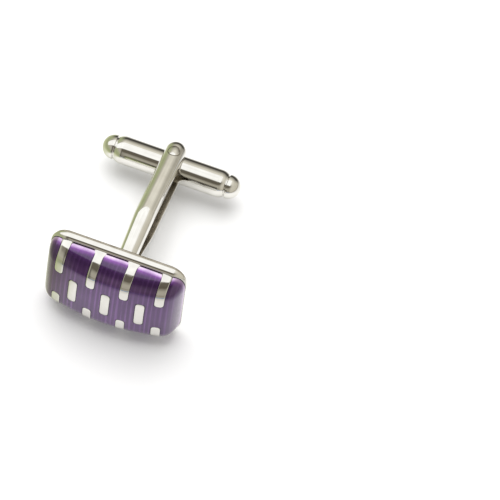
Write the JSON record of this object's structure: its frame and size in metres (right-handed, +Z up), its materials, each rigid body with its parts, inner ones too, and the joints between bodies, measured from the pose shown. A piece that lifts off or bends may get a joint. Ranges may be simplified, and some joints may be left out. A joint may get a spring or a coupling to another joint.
{
  "type": "cufflink",
  "caption": "Swivel-bar cufflink: domed rectangular face with purple enamel and raised metal dashes, forked post, and a bar that turns across or along the post.",
  "frame": {"origin": "on the table under the middle of the link as it lies at rest", "axes": "+Z up from the table, X along the bar and the face's width, -Y towards the front of the face, +Y towards the bar; the post slopes down towards the bar by 7.8 degrees"},
  "size_m": [0.0204, 0.0294, 0.0134],
  "materials": {
    "polished_metal": "mirror polished rhodium-like plating over a cast base metal",
    "violet_enamel": "glossy translucent violet enamel over fine ribbed ground",
    "solder": "satin solder under thin plating",
    "spring_steel": "drawn wire and turned pin, plain",
    "plunger_brass": "turned brass"
  },
  "bodies": {
    "link": {"face_frame": "polished_metal", "enamel_field": "violet_enamel", "back_plate": "polished_metal", "solder_fillet": "solder", "post_fork": "polished_metal", "pivot_pin": "spring_steel"},
    "toggle": {"toggle_barrel": "polished_metal", "ball_tip_left": "polished_metal", "ball_tip_right": "polished_metal", "click_plunger_left": "plunger_brass", "click_plunger_right": "plunger_brass", "click_spring_left": "spring_steel", "click_spring_right": "spring_steel"}
  },
  "joints": [
    {"name": "toggle_swivel", "type": "hinge", "parent": "link", "child": "toggle", "pos_m": [0, 0.01192, 0.00372], "axis": [0, 0.135, 0.9908], "continuous": true}
  ]
}
